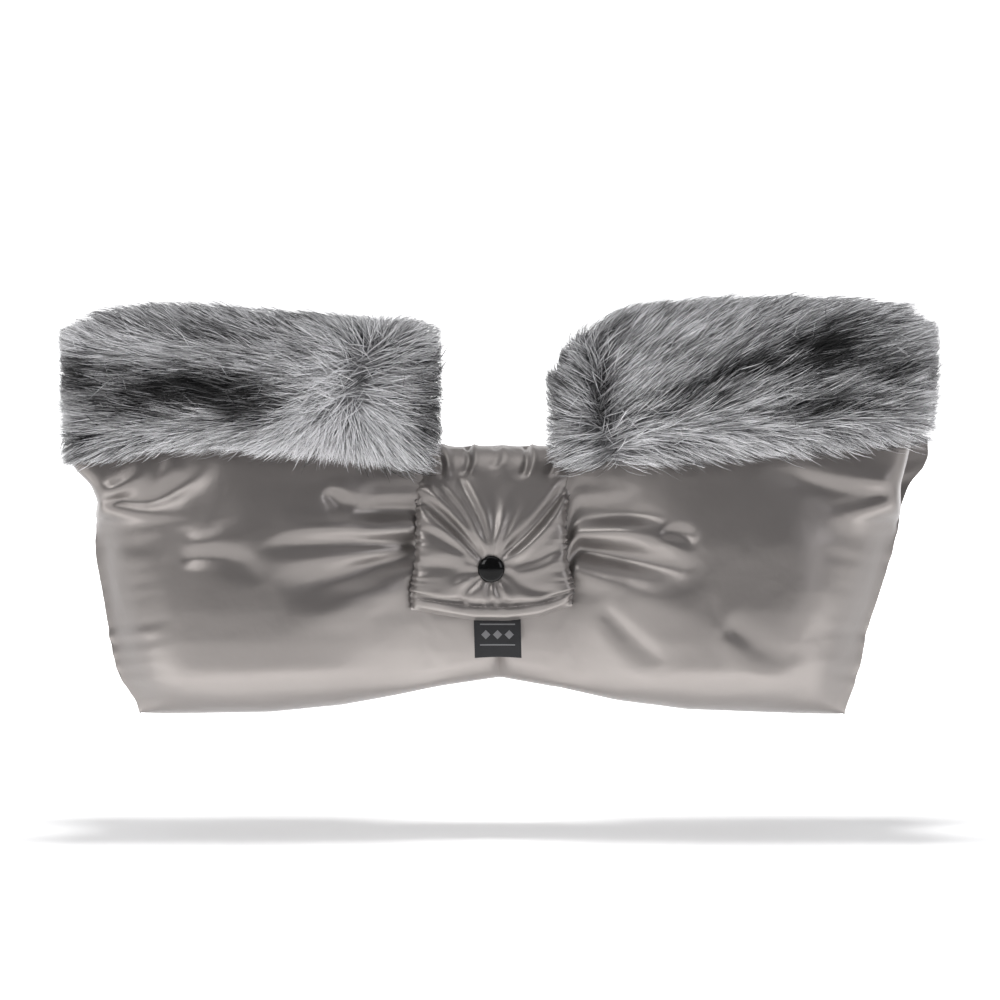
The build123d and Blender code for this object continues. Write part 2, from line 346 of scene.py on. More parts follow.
def cut_size(grid, side):
    """The flat cut of a wall sheet, [row, column]: roomier than its place where it is gathered."""
    rows, columns = grid.shape[:2]
    across = np.linalg.norm(np.diff(grid, axis=1), axis=2)
    widths = np.percentile(across, 88, axis=0) * 1.012
    x = np.r_[0, np.cumsum(widths)]
    down = np.linalg.norm(np.diff(grid, axis=0), axis=2).sum(0)
    out_x = np.abs(grid[rows // 4, :, 0])
    gather = 1.03 + 0.20 * (1 - smooth(48, 150, out_x))
    run = down * gather
    middle = rows // 2
    z = -(np.arange(rows)[:, None] - middle) / (rows - 1) * run[None, :]
    return np.stack([np.broadcast_to(x * SIDES[side], z.shape), np.zeros_like(z), z], 2)


def make_shell(side, material):
    """Outer nylon of one pouch, from the front's fur seam round the fold to the back's."""
    rows, columns = WALL_ROWS, WALL_COLUMNS
    front = pouch_grid(side, "front", 0, columns, rows)
    back = pouch_grid(side, "back", 0, columns, rows)
    grid = np.concatenate([front, back[::-1][1:]])
    base = grid.copy()
    count = len(grid)
    x, z = np.abs(grid[..., 0]), grid[..., 2]
    is_front = np.arange(count)[:, None] < rows
    normal = unit(np.cross(np.gradient(grid, axis=1), np.gradient(grid, axis=0)), 1e-9)
    normal *= np.sign((normal[..., 1] * grid[..., 1]).mean())
    push = fold_offsets(x, z, FOLDS[side]) * is_front
    back_folds = [((a[0], a[1] - 4), (b[0] * 0.94, b[1] - 6), s, d, w) for a, b, s, d, w in
                  FOLDS["right" if side == "left" else "left"]]
    push = push + fold_offsets(x, z, back_folds) * ~is_front
    seed = 11 if side == "left" else 23
    gather = waves(z + 0.03 * x, seed, 7, 0.045, 0.11) * (1 - smooth(50, 95, x)) * smooth(-84, -64, z)
    seam = np.abs(grid[:1, :, 2] - z)
    pucker = waves(x + 0.25 * z, seed + 1, 8, 0.04, 0.10) * np.exp(-seam / 9.0) * smooth(50, 60, x)
    from_side = np.abs(base[rows // 2, -1, 0]) - x
    hem = waves(z + 0.2 * x, seed + 2, 7, 0.05, 0.12) * smooth(-26, -6, 20 - from_side)
    amount = -push + 1.1 * gather + 1.2 * pucker + 0.7 * hem * (z < -18)
    keep = smooth(0, 3, np.arange(columns))[None, :]
    grid = grid + normal * (amount * keep)[..., None]
    pins = np.zeros(grid.shape[:2])
    pins[[0, -1]] = 1.0
    pins[:, [0, -1]] = 1.0
    strap_side = STRAP_HALF + STRAP_X * SIDES[side] - 3
    under = (x < strap_side) & (z > np.where(is_front, STRAP_LOW[2] + 4, TAIL_LOW[2] + 3))
    pins[under] = 1.0
    obj = new_mesh(f"shell_{side}_nylon", grid.reshape(-1, 3), grid_faces(count, columns, SIDES[side] > 0),
                   material)
    relax(obj, cut_size(base, side).reshape(-1, 3), pins.ravel(), 24, 1.2, 0.25, 9.0)
    calm = 0.25 + 0.6 * (1 - smooth(56, 72, x)) * smooth(strap_side - 4, strap_side, x)
    set_coords(obj, soften(coords(obj).reshape(grid.shape), 5, calm).reshape(-1, 3))
    return obj


def make_lining(side, material):
    """Inner lining of one pouch, from the front's top edge round the fold to the back's."""
    front = pouch_grid(side, "front", LINING_DEPTH, LINING_COLUMNS, LINING_ROWS)
    back = pouch_grid(side, "back", LINING_DEPTH, LINING_COLUMNS, LINING_ROWS)
    grid = np.concatenate([front, back[::-1][1:]])
    x, y, z = np.moveaxis(grid, 2, 0)
    y += 0.7 * waves(x + 0.6 * z, 5, 8, 0.02, 0.07) * np.sign(y) * (np.abs(y) > 4)
    faces = grid_faces(len(grid), LINING_COLUMNS, SIDES[side] < 0)
    return new_mesh(f"lining_{side}_fleece", grid.reshape(-1, 3), faces, material), grid


def bridge(name, edge_a, edge_b, bulge, material):
    """A rounded strip that closes the gap between two edges with the same number of points."""
    steps = np.linspace(0, 1, 7)
    rows = [(1 - t) * edge_a + t * edge_b + np.asarray(bulge) * math.sin(math.pi * t) for t in steps]
    grid = np.stack(rows)
    return new_mesh(name, grid.reshape(-1, 3), grid_faces(len(steps), grid.shape[1]), material)


def close_pouch(side, shell, shell_shape, lining_grid, material):
    """Binding along the top edges, the notch and the side slit, between nylon and lining."""
    outer = coords(shell).reshape(shell_shape)
    pieces = []
    for label, row in (("front", 0), ("back", -1)):
        a = even(outer[row], TOP_POINTS)
        b = even(lining_grid[row], TOP_POINTS)
        pieces.append(bridge(f"top_binding_{label}_{side}", a, b, (0, 0, 1.2), material))
    a = even(outer[:, -1], SLIT_POINTS)
    b = even(lining_grid[:, -1], SLIT_POINTS)
    pieces.append(bridge(f"slit_binding_{side}_tape", a, b, (1.6 * SIDES[side], 0, 0), material))
    return pieces


# ---------------------------------------------------------------- strap
STRAP_THICK = 8.0
# Outer face of the strap as (y, z), from the sewn tail at the back, over the bar, to the front hem.
STRAP_PATH = [(36.0, -48.0), (37.5, -32), (35.5, -16), (27.5, -6), (23.6, 2), (20.5, 12), (12, 20.3),
              (0, 23.4), (-12, 21.6), (-22, 14.5), (-29, 3.0), (-34.5, -12), (-37.5, -28), (-37.0, -46),
              (-36.5, -62), (-35.0, -74.0)]
# Left and right edges of the front, as (height, x).
STRAP_LEFT = [(-72, -49.5), (-62, -50), (-38, -47), (-10, -46.5), (8, -48), (18, -47.5), (23, -40)]
STRAP_RIGHT = [(-72, 40), (-60, 41.5), (-38, 37), (-10, 37), (8, 40.5), (17, 38), (23, 34)]
# How far the hem rises along the strap's width, as (x, rise).
STRAP_HEM = [(-50, 6.5), (-34, 3.5), (-14, 0.3), (4, 0.0), (22, 2.2), (41, 9.0)]
# Creases of the front that run to the press stud, the hem and the bar: start and end as (x, z), then
# depth and width.
STRAP_CREASES = [
    ((-46, -4), (-10, -40), 3.6, 2.9), ((38, 4), (1, -38), 4.0, 3.0), ((-24, 6), (-8, -36), 1.7, 2.6),
    ((-34, 0), (-9, -38), 1.8, 2.0), ((-46, -22), (-14, -42), 1.5, 2.6), ((-46, -44), (-12, -48), 1.4, 3.6),
    ((38, -30), (5, -44), 1.5, 2.8), ((30, -60), (3, -49), 1.3, 3.0), ((-3, -66), (-5, -52), 1.6, 1.6),
    ((6, -66), (-2, -52), 1.4, 1.6), ((-22, -66), (-12, -50), 1.1, 2.4), ((-19, 26), (-20, 9), 2.6, 1.7),
    ((14, 26), (13, 8), 2.4, 1.7), ((-38, 24), (-33, 6), 2.0, 2.0), ((31, 24), (27, 8), 1.8, 2.0),
    ((-3, 24), (-4, 12), 1.2, 2.2),
]
SEWN_BAND = 9.5                              # from the hem to its row of stitches
STITCHES = 27
THREAD_RADIUS = 0.24
SNAP_HELD = 8.2                              # radius that the press stud holds still


def strap_creases(x, z):
    """How far the creases raise each point at x, z of the strap's front, in mm."""
    total = np.zeros_like(x)
    for start, end, depth, width in STRAP_CREASES:
        a = np.array(start, float)
        run = np.array(end, float) - a
        span = np.hypot(*run)
        along = ((x - a[0]) * run[0] + (z - a[1]) * run[1]) / span ** 2
        across = ((x - a[0]) * -run[1] + (z - a[1]) * run[0]) / span - 2.0 * np.sin(np.pi * along)
        fade = smooth(-0.1, 0.15, along) * (1 - smooth(0.85, 1.1, along))
        ridge = np.exp(-((across - 2 * width) / width) ** 2)
        total -= depth * fade * (np.exp(-(across / width) ** 2) - 0.5 * ridge)
    return total


def strap_edges(z, is_front):
    """Left and right x of the strap at each place along its path. The tail narrows towards the bar."""
    near_bar = smooth(8, 20, z) * ~is_front
    left = np.where(is_front, line_at(STRAP_LEFT, z), -45.0) * (1 - near_bar) - 41.0 * near_bar
    right = np.where(is_front, line_at(STRAP_RIGHT, z), 37.0) * (1 - near_bar) + 34.5 * near_bar
    return left[:, None], right[:, None]


def make_strap(material):
    """The padded strap, simulated as one sheet over its wadding, then cut at the back of the bar."""
    rows = 190
    columns = 84
    path = even(cubic(STRAP_PATH, 400), rows)
    is_front = np.arange(rows) > np.argmax(path[:, 1])
    left, right = strap_edges(path[:, 1], is_front)
    tangent = np.gradient(path, axis=0)
    tangent /= np.linalg.norm(tangent, axis=1, keepdims=True)
    outward = np.stack([-tangent[:, 1], tangent[:, 0]], 1)
    outward *= -1.0 if (outward[:, 0] * path[:, 0]).sum() < 0 else 1.0
    out_y, out_z = outward[:, :1], outward[:, 1:]
    is_front = is_front[:, None]
    y, z = path[:, :1], path[:, 1:]
    t = np.linspace(0, 1, columns)
    x = left + (right - left) * t[None, :]
    length = np.r_[0, np.cumsum(np.linalg.norm(np.diff(path, axis=0), axis=1))][:, None]
    from_end = length[-1] - length

    edge = np.minimum(t, 1 - t)[None, :] * (right - left)
    crown = np.sqrt(1 - (1 - np.clip(edge / 9.0, 0, 1)) ** 2)
    hem = np.sqrt(1 - (1 - np.clip(from_end / 4.5, 0, 1)) ** 2)
    hem = hem * (1 - 0.62 * np.exp(-((from_end - SEWN_BAND) / 1.7) ** 2))
    base = -STRAP_THICK * 0.5 * (1 - crown * (0.15 + 0.85 * hem))
    snap_far = np.hypot(x - SNAP[0], z - SNAP[2]) + 1e3 * ~is_front
    dimple = -3.4 * np.exp(-(snap_far / 9.0) ** 2)
    angle = np.arctan2(z - SNAP[2], x - SNAP[0])
    upward = smooth(0.1, 0.8, np.sin(angle))
    rays = waves(angle * 20, 8, 6, 0.06, 0.14) * np.exp(-((snap_far - 13) / 10.0) ** 2)
    rays = rays + 1.7 * upward * waves(angle * 20, 9, 6, 0.09, 0.20) * np.exp(-((snap_far - 22) / 15.0) ** 2)
    arch = smooth(2, 11, z) * (0.45 + 0.55 * (z < 22))
    tucks = waves(x, 31, 6, 0.025, 0.06) * (arch * 1.9 + 0.9 * np.exp(-((from_end - 9.0) / 4.5) ** 2))
    tucks = tucks + 0.8 * np.sin(length * 1.5 + 2 * np.sin(length * 0.4)) * np.exp(-edge / 4.5)
    lift = base + dimple + 1.1 * rays + tucks + strap_creases(x, z) * is_front

    sheet = np.stack([x, y + out_y * lift, z + out_z * lift], 2)
    rise = line_at(STRAP_HEM, x[-1])
    near_end = 1 - smooth(0, 30, from_end)
    sheet[..., 2] += near_end * rise[None, :]
    side_pucker = 0.85 * np.sin(length * 1.35 + 1.3 * np.sin(length * 0.31))
    sheet[..., 0] += side_pucker * np.exp(-edge / 3.0) * np.sign(t - 0.5)[None, :]
    flat_x = (x - x.mean(1, keepdims=True)) * 1.055
    cut = np.stack([flat_x, np.zeros_like(x), np.broadcast_to(-length * 1.045, x.shape)], 2)
    pins = np.zeros(x.shape)
    pins[[0, -1]] = 1.0
    pins[:, [0, -1]] = 1.0
    pins[snap_far < SNAP_HELD] = 1.0
    pins[np.abs(from_end[:, 0] - 9.0) < 0.5] = 1.0
    tail_end = ((length < 30) & ~is_front)[:, 0]
    pins[tail_end] = np.maximum(pins[tail_end], 0.3)
    obj = new_mesh("strap_sheet", sheet.reshape(-1, 3), grid_faces(rows, columns), material)
    relax(obj, cut.reshape(-1, 3), pins.ravel(), 22, 1.6, 0.2, 4.0)
    outer = soften(coords(obj).reshape(rows, columns, 3), 3, np.full(x.shape, 0.4))
    bpy.data.objects.remove(obj)

    inner = np.stack([x, y - out_y * STRAP_THICK + 0 * x, z - out_z * STRAP_THICK + 0 * x], 2)
    inner[..., 2] += near_end * rise[None, :]
    round_in = np.exp(-edge / 2.0) * 3.2
    inner[..., 1] += out_y * round_in
    inner[..., 2] += out_z * round_in
    split = int(np.argmin(np.abs(y - 8) + 100 * (z < 0)))
    bulge = np.array([0.9, 0, 0])
    pieces = {}
    for name, part in (("tail", slice(0, split + 1)), ("front", slice(split, rows))):
        top, under = outer[part], inner[part]
        right_side = (top[:, -1:] + under[:, -1:]) / 2 + bulge
        left_side = (top[:, :1] + under[:, :1]) / 2 - bulge
        loop = np.concatenate([top, right_side, under[:, ::-1], left_side, top[:, :1]], 1)
        quads = grid_faces(*loop.shape[:2], True)
        piece = new_mesh(f"strap_{name}_pad", loop.reshape(-1, 3), quads, material)
        weld(piece, 0.02)
        piece.data.shade_smooth()
        pieces[name] = piece
    ends = bridge("strap_hem_edge", outer[-1], inner[-1], (0, 0, -1.4), material)
    tail_edge = bridge("strap_tail_edge", outer[0], inner[0], (0, 0, -1.0), material)
    return pieces, ends, tail_edge, outer


def make_stitches(face_grid, material):
    """A row of short threads along the strap's hem, half sunk in the cloth."""
    run = np.linalg.norm(np.diff(face_grid[:, face_grid.shape[1] // 2], axis=0), axis=1)
    from_end = np.r_[np.cumsum(run[::-1])[::-1], 0]
    row = face_grid[int(np.argmin(np.abs(from_end - SEWN_BAND)))]
    line = even(row[2:-2], STITCHES * 3)
    verts, faces = [], []
    for k in range(STITCHES):
        bow = line[3 * k:3 * k + 3]
        thread = np.array([bow[0], 0.5 * (bow[0] + bow[1]), bow[1], 0.5 * (bow[1] + bow[2]), bow[2]])
        thread[:, 1] -= np.array([-0.1, 0.2, 0.3, 0.2, -0.1])
        start = len(verts)
        for point in thread:
            for turn in np.arange(6) * math.pi / 3:
                verts.append(point + THREAD_RADIUS * np.array([0, math.cos(turn), math.sin(turn)]))
        for ring in range(4):
            for j in range(6):
                a = start + 6 * ring + j
                b = start + 6 * ring + (j + 1) % 6
                faces.append((a, b, b + 6, a + 6))
    return new_mesh("hem_stitches", np.array(verts), faces, material)


# ---------------------------------------------------------------- snap and label
def make_snap_cap(material):
    """Domed press-stud cap turned about the line through the snap, facing the front."""
    profile = [(0.0, 0.0), (2.2, -0.12), (4.2, -0.5), (5.9, -1.15), (6.9, -1.85), (7.35, -2.5), (7.5, -3.1),
               (7.3, -3.7), (6.6, -4.0), (5.2, -4.1), (0.0, -4.1)]
    line = cubic(profile, 60)
    turns = np.linspace(0, 2 * math.pi, 65)[None, :]
    radius, height = np.maximum(line[:, :1], 0), line[:, 1:]
    top = SNAP[1] - 0.6
    grid = np.stack([SNAP[0] + radius * np.cos(turns), top - height + 0 * turns,
                     SNAP[2] + radius * np.sin(turns)], 2)
    obj = new_mesh("snap_cap_dome", grid.reshape(-1, 3), grid_faces(*grid.shape[:2]), material)
    weld(obj, 0.005)
    return obj


LABEL_BEND = 0.55                            # radius of the fold at the label's lower end


def make_label(material):
    """Woven ribbon sewn under the strap's hem, folded over at its lower end, and curling a little."""
    width = LABEL_HIGH[0] - LABEL_LOW[0]
    drop = LABEL_HIGH[2] - LABEL_LOW[2]
    s = np.linspace(0, 1, 40)[:, None]
    u = np.linspace(0, 1, 26)[None, :]
    z = LABEL_HIGH[2] - drop * s + 0.5 * np.sin(math.pi * u) * s
    x = LABEL_LOW[0] + width * u + 0.7 * (s - 0.5)
    y = LABEL_LOW[1] - 2.2 * np.sin(2.4 * s) ** 2 - 1.3 * (2 * u - 1) ** 2 * s + 0 * x
    face = np.stack([x, y, z], 2)
    back = face[::-1] + np.array([0, 2 * LABEL_BEND, 0])
    roll = np.stack([face[-1] + LABEL_BEND * np.array([0, 1 - math.cos(a), -math.sin(a)])
                     for a in np.linspace(0, math.pi, 7)[1:-1]])
    grid = np.concatenate([face, roll, back])
    obj = new_mesh("label_ribbon", grid.reshape(-1, 3), grid_faces(*grid.shape[:2]), material)
    return obj, (width, 2 * drop)


# ---------------------------------------------------------------- fur
# Top outline of each cuff as (|x|, height), and its inner and outer ends.
FUR_TOP = {
    ("left", "front"): [(35, 91), (39, 94), (56, 96), (95, 97), (146, 101), (196, 104), (235, 98),
                        (246, 90)],
    ("right", "front"): [(27, 66), (34, 84), (48, 92), (78, 103), (123, 107), (168, 108), (202, 106),
                         (238, 102), (246, 92)],
    ("left", "back"): [(35, 84), (60, 90), (146, 94), (200, 95), (246, 84)],
    ("right", "back"): [(30, 74), (50, 86), (120, 98), (200, 98), (246, 86)],
}
FUR_ENDS = {("left", "front"): (34, 245), ("right", "front"): (27, 245), ("left", "back"): (51, 240),
            ("right", "back"): (44, 241)}


def fur_flow(side, face, x, z):
    """Direction the pile lies at |x|, z: along |x| and along z."""
    if face == "back":
        angle = np.radians(22) + 0.25 * waves(x + 0.6 * z, 71, 5, 0.01, 0.03)
        return np.cos(angle), np.sin(angle) * (1 - 0.3 * (z < 32))
    if side == "left":
        rx, rz = x - 79 + 0.35 * (z - 62), (z - np.clip(z, 54, 72)) * 0.9
        far = np.hypot(rx, rz)
        radial = np.arctan2(rz, rx) + 0.65 * waves(np.arctan2(rz, rx) * 20 + 0.5 * far, 45, 6, 0.05, 0.16)
        angle = np.radians(9) + 0.22 * waves(x * 0.7 + z, 41, 5, 0.01, 0.03)
        angle = angle + np.radians(26) * smooth(72, 98, z) - np.radians(46) * (1 - smooth(18, 38, z))
        pull = 0.92 * (1 - smooth(20, 62, far))
        pull = np.maximum(pull, 1 - smooth(62, 84, x))
        dx = np.cos(angle) * (1 - pull) + np.cos(radial) * pull
        dz = np.sin(angle) * (1 - pull) + np.sin(radial) * pull
    else:
        parting = line_at([(20, 62), (28, 62), (50, 56), (78, 50), (100, 46)], z)
        angle = np.radians(39) - np.radians(27) * smooth(70, 235, x)
        angle = angle + 0.16 * waves(x * 0.6 - z, 43, 5, 0.01, 0.03)
        angle = angle - np.radians(58) * (1 - smooth(20, 44, z)) * smooth(52, 90, x)
        turn = np.radians(152) - np.radians(60) * smooth(76, 98, z)
        turn = turn + np.radians(50) * (1 - smooth(24, 44, z))
        other = 1 - smooth(parting - 5, parting + 5, x)
        dx = np.cos(angle) * (1 - other) + np.cos(turn) * other
        dz = np.sin(angle) * (1 - other) + np.sin(turn) * other
    size = np.maximum(np.hypot(dx, dz), 1e-3)
    return dx / size, dz / size


def spot(x, z, cx, cz, wide, high, tilt=0.0):
    """A soft elliptical patch, 1 in its middle."""
    c, s = math.cos(tilt), math.sin(tilt)
    a, b = (x - cx) * c + (z - cz) * s, (z - cz) * c - (x - cx) * s
    return np.exp(-((a / wide) ** 2 + (b / high) ** 2))


def fur_tone(side, face, x, z):
    """Shade of the pile at |x|, z: 0 is black, 1 is white. Mostly the fur's own patches and streaks, with
    painted shade where the front pile parts.
    """
    streak = 0.15 * waves(x * 0.35 + z * 1.3, 51, 7, 0.02, 0.09)
    streak = streak + 0.10 * waves(z - 0.2 * x, 52, 7, 0.04, 0.12)
    streak = streak * (0.6 + 0.7 * waves(x + 0.3 * z, 53, 5, 0.01, 0.04))
    if face == "back":
        dark = 0.4 * spot(x, z, 150, 58, 50, 14, 0.2) + 0.3 * spot(x, z, 215, 62, 16, 14)
        return 0.61 + 1.15 * streak - dark
    if side == "left":
        dark = 0.62 * spot(x, z, 170, 57, 42, 11) + 0.42 * spot(x, z, 136, 46, 18, 8)
        dark += 0.40 * spot(x, z, 233, 64, 16, 9) + 0.45 * spot(x, z, 41, 50, 9, 25)
        dark += 0.35 * spot(x, z, 234, 28, 9, 6) + 0.16 * spot(x, z, 150, 88, 40, 9)
        # The spot at 78, 60 is painted shade in the hollow where the pile parts at the swirl's centre.
        dark += 0.34 * spot(x, z, 78, 60, 7, 8) + 0.2 * spot(x, z, 205, 46, 20, 7)
        light = 0.34 * spot(x, z, 92, 48, 32, 34) + 0.18 * spot(x, z, 150, 27, 70, 8)
        light += 0.16 * spot(x, z, 200, 80, 40, 9)
    else:
        dark = 0.60 * spot(x, z, 180, 78, 27, 14, 0.25) + 0.42 * spot(x, z, 132, 67, 30, 8, 0.3)
        # The narrow strip at 57, 50 is painted shade along the pile's parting.
        dark += 0.48 * spot(x, z, 178, 46, 22, 7, 0.15) + 0.40 * spot(x, z, 57, 50, 6, 24)
        dark += 0.30 * spot(x, z, 222, 66, 22, 10) + 0.26 * spot(x, z, 100, 50, 18, 7, 0.5)
        dark += 0.25 * spot(x, z, 34, 56, 6, 20)
        light = 0.04 * spot(x, z, 90, 84, 40, 16, 0.5) + 0.20 * spot(x, z, 130, 30, 60, 8)
        light += 0.16 * spot(x, z, 70, 24, 16, 14)
    return 0.63 + 1.15 * streak - 1.08 * dark + light


def cuff_skin(side, face, columns, around):
    """Points of a cuff's padded base, [along, around], rounded at both ends."""
    wall = pouch_grid(side, face, 0, 80, 6)[0]
    inner_x, outer_x = FUR_ENDS[side, face][0] + 8.0, FUR_ENDS[side, face][1] - 6.0
    u = np.linspace(0, 1, columns)
    x = inner_x + (outer_x - inner_x) * (0.25 - 0.25 * np.cos(math.pi * u) + 0.5 * u)
    wall_y = np.maximum(np.interp(x, np.abs(wall[:, 0]), np.abs(wall[:, 1])), 31.0)
    top = line_at(FUR_TOP[side, face], x) - 6.5
    bottom = line_at(FUR_EDGE[side, face], x) + 1.0
    end = np.minimum(x - inner_x, outer_x - x)
    roundness = np.sqrt(np.maximum(0, 1 - (1 - np.clip(end / 11.0, 0, 1)) ** 2))
    v = np.linspace(0, 2 * math.pi, around, endpoint=False)
    c, s = np.cos(v), np.sin(v)
    cy = np.sign(c) * np.abs(c) ** 0.7
    cz = np.sign(s) * np.abs(s) ** 0.62
    half = (top - bottom) / 2 * (0.80 + 0.20 * roundness)
    middle = (top + bottom) / 2
    depth = 10.5 * np.maximum(roundness, 0.03)
    lean = 1.5 * np.sin(math.pi * np.clip((middle[:, None] + half[:, None] * cz[None, :] - 15) / 90, 0, 1))
    y = wall_y[:, None] - 1.5 + depth[:, None] * cy[None, :] + lean
    z = middle[:, None] + half[:, None] * cz[None, :]
    sign = -1 if face == "front" else 1
    return np.stack([np.broadcast_to(x[:, None] * SIDES[side], y.shape), y * sign, z], 2)


def float_layer(mesh, name, values):
    layer = mesh.attributes.new(name, "FLOAT", "POINT")
    layer.data.foreach_set("value", np.asarray(values, np.float32))


def hair_uv(count, steps):
    """Texture places: each hair has a square cell of its own."""
    cells = int(math.ceil(math.sqrt(count)))
    cell_x, cell_y = np.arange(count) % cells, np.arange(count) // cells
    uv = np.empty((count, steps, 4, 2))
    for k in range(steps):
        for corner, (p, q) in enumerate(((0.25, k), (0.75, k), (0.75, k + 1), (0.25, k + 1))):
            uv[:, k, corner, 0] = (cell_x + p) / cells
            uv[:, k, corner, 1] = (cell_y + 0.1 + 0.8 * q / steps) / cells
    return uv


HAIR_RISE = (44, 29, 16, 6)                  # degrees off the skin, from the root to the tip
HAIR_TAPER = (1.0, 0.95, 0.8, 0.55, 0.14)    # share of the hair's width, from the root to the tip
CLUMP = 26                                   # hairs in a clump, about


def make_cuff(side, face, count, seed, material):
    """Base and pile of one cuff. The pile is short ribbons, clumped, lying along the flow."""
    rng = np.random.default_rng(seed)
    skin = cuff_skin(side, face, 72, 56)
    ring = np.concatenate([skin, skin[:, :1]], 1)
    columns, around = ring.shape[:2]
    base = new_mesh(f"cuff_{face}_{side}_base", ring.reshape(-1, 3), grid_faces(columns, around), material)
    weld(base, 0.01)
    co = coords(base)
    float_layer(base.data, "tone", np.clip(fur_tone(side, face, np.abs(co[:, 0]), co[:, 2]), 0, 1))
    float_layer(base.data, "along", np.full(len(co), 0.12))
    a, b, c, d = ring[:-1, :-1], ring[:-1, 1:], ring[1:, 1:], ring[1:, :-1]
    normal = np.cross(c - a, d - b)
    area = np.linalg.norm(normal, axis=2)
    normal /= np.maximum(area, 1e-9)[..., None]
    centre = ring[:-1, :-1].mean(1, keepdims=True)
    if ((a - centre) * normal).sum() < 0:
        normal = -normal
    sign = -1 if face == "front" else 1
    facing = normal[..., 1] * sign
    weight = area * np.where(facing > -0.3, 1.0, 0.42)
    weight /= weight.sum()
    pick = rng.choice(weight.size, count, p=weight.ravel())
    i, j = np.unravel_index(pick, weight.shape)
    s, t = rng.random(count)[:, None], rng.random(count)[:, None]
    root = (1 - s) * ((1 - t) * a[i, j] + t * b[i, j]) + s * ((1 - t) * d[i, j] + t * c[i, j])
    n = normal[i, j] + 0.10 * rng.normal(size=(count, 3))
    n = unit(n)
    ax, az = np.abs(root[:, 0]), root[:, 2]
    blur = rng.normal(size=(2, count)) * 4.5
    dx, dz = fur_flow(side, face, ax + blur[0], az + blur[1])
    twist = 0.17 * rng.normal(size=count) + 0.22 * waves(ax + 2.1 * az, seed + 3, 6, 0.03, 0.09)
    twist += (rng.random(count) < 0.05) * rng.normal(size=count) * 0.7
    dx, dz = dx * np.cos(twist) - dz * np.sin(twist), dx * np.sin(twist) + dz * np.cos(twist)
    flow = np.stack([dx * SIDES[side], np.zeros(count), dz], 1)
    flow = unit(flow - n * (flow * n).sum(1, keepdims=True), 0.3)
    length = rng.uniform(17, 27, count) * np.where(facing[i, j] > -0.3, 1, 0.75)
    raise_by = 1 + 0.25 * rng.normal(size=count)
    tip = root + length[:, None] * (0.91 * flow + 0.34 * n)
    tx, tz = tip[:, 0] * SIDES[side], tip[:, 2]
    inner_x, outer_x = FUR_ENDS[side, face]
    slack = np.abs(rng.normal(size=count)) * 1.6
    room_out = (outer_x + slack - ax) / np.maximum(tx - ax, 1e-3)
    room_in = (ax - inner_x + slack) / np.maximum(ax - tx, 1e-3)
    room_up = (line_at(FUR_TOP[side, face], np.abs(tx)) + slack - az) / np.maximum(tz - az, 1e-3)
    stray = (rng.random(count) < 0.035) & (az < 36)
    low = line_at(FUR_EDGE[side, face], ax) - 0.5 - 1.8 * slack - 9.0 * stray
    room_down = (az - low) / np.maximum(az - tz, 1e-3)
    fit = np.minimum.reduce([room_out, room_in, room_up, room_down])
    length *= np.clip(fit, 0.28, 1.0)
    steps = len(HAIR_RISE)
    clumps = rng.choice(count, max(60, count // CLUMP), replace=False)
    nearest = np.empty(count, int)
    for k in range(0, count, 2000):
        gap = ((root[k:k + 2000, None, :] - root[None, clumps, :]) ** 2).sum(2)
        nearest[k:k + 2000] = clumps[gap.argmin(1)]
    points = np.empty((count, steps + 1, 3))
    points[:, 0] = root - 0.6 * n
    droop = np.array([0, 0, -1.0]) * (0.05 * (az < 40))[:, None]
    for k in range(steps):
        rise = np.radians(HAIR_RISE[k]) * raise_by
        step = np.cos(rise)[:, None] * flow + np.sin(rise)[:, None] * n + droop * k
        points[:, k + 1] = points[:, k] + length[:, None] / steps * step
    for k in range(1, steps + 1):
        shift = points[nearest, k] - points[:, k]
        far = np.linalg.norm(shift, axis=1, keepdims=True)
        points[:, k] += shift * 0.5 * (k / steps) ** 1.6 * np.clip(6.0 / np.maximum(far, 1e-6), 0, 1)
    roll = rng.uniform(-1.0, 1.0, count)
    across = unit(np.cross(unit(points[:, -1] - points[:, 0]), n))
    across = np.cos(roll)[:, None] * across + np.sin(roll)[:, None] * n
    half = 0.5 * rng.uniform(0.34, 0.62, count)[:, None, None] * np.array(HAIR_TAPER)[None, :, None]
    left, right = points - half * across[:, None, :], points + half * across[:, None, :]
    verts = np.stack([left, right], 2).reshape(-1, 3)
    first = ((np.arange(count) * 2 * (steps + 1))[:, None] + 2 * np.arange(steps)[None, :]).ravel()
    quads = np.stack([first, first + 1, first + 3, first + 2], 1)
    pile = new_mesh(f"cuff_{face}_{side}_pile", verts, quads, material)
    mid = points[:, 2]
    tone = fur_tone(side, face, np.abs(mid[:, 0]), mid[:, 2]) + 0.19 * rng.normal(size=count)
    group = rng.normal(size=count)[nearest]
    tone = tone + 0.07 * group + (rng.random(count) < 0.05) * 0.3 - 0.3 * stray
    float_layer(pile.data, "tone", np.repeat(np.clip(tone, 0, 1), 2 * (steps + 1)))
    float_layer(pile.data, "along", np.tile(np.repeat(np.linspace(0, 1, steps + 1), 2), count))
    pile.data.uv_layers.new(name="OFBake").data.foreach_set("uv", hair_uv(count, steps).ravel())
    return base, pile


# ---------------------------------------------------------------- materials
def material(name, color, roughness, metallic=0.0, sheen=0.0):
    m = bpy.data.materials.new(name)
    m.use_nodes = True
    shader = m.node_tree.nodes["Principled BSDF"]
    shader.inputs["Base Color"].default_value = (*color, 1)
    shader.inputs["Roughness"].default_value = roughness
    shader.inputs["Metallic"].default_value = metallic
    shader.inputs["Sheen Weight"].default_value = sheen
    return m, m.node_tree.nodes, m.node_tree.links, shader


def node(nodes, kind, **inputs):
    made = nodes.new(kind)
    for key, value in inputs.items():
        made.inputs[key.replace("_", " ")].default_value = value
    return made


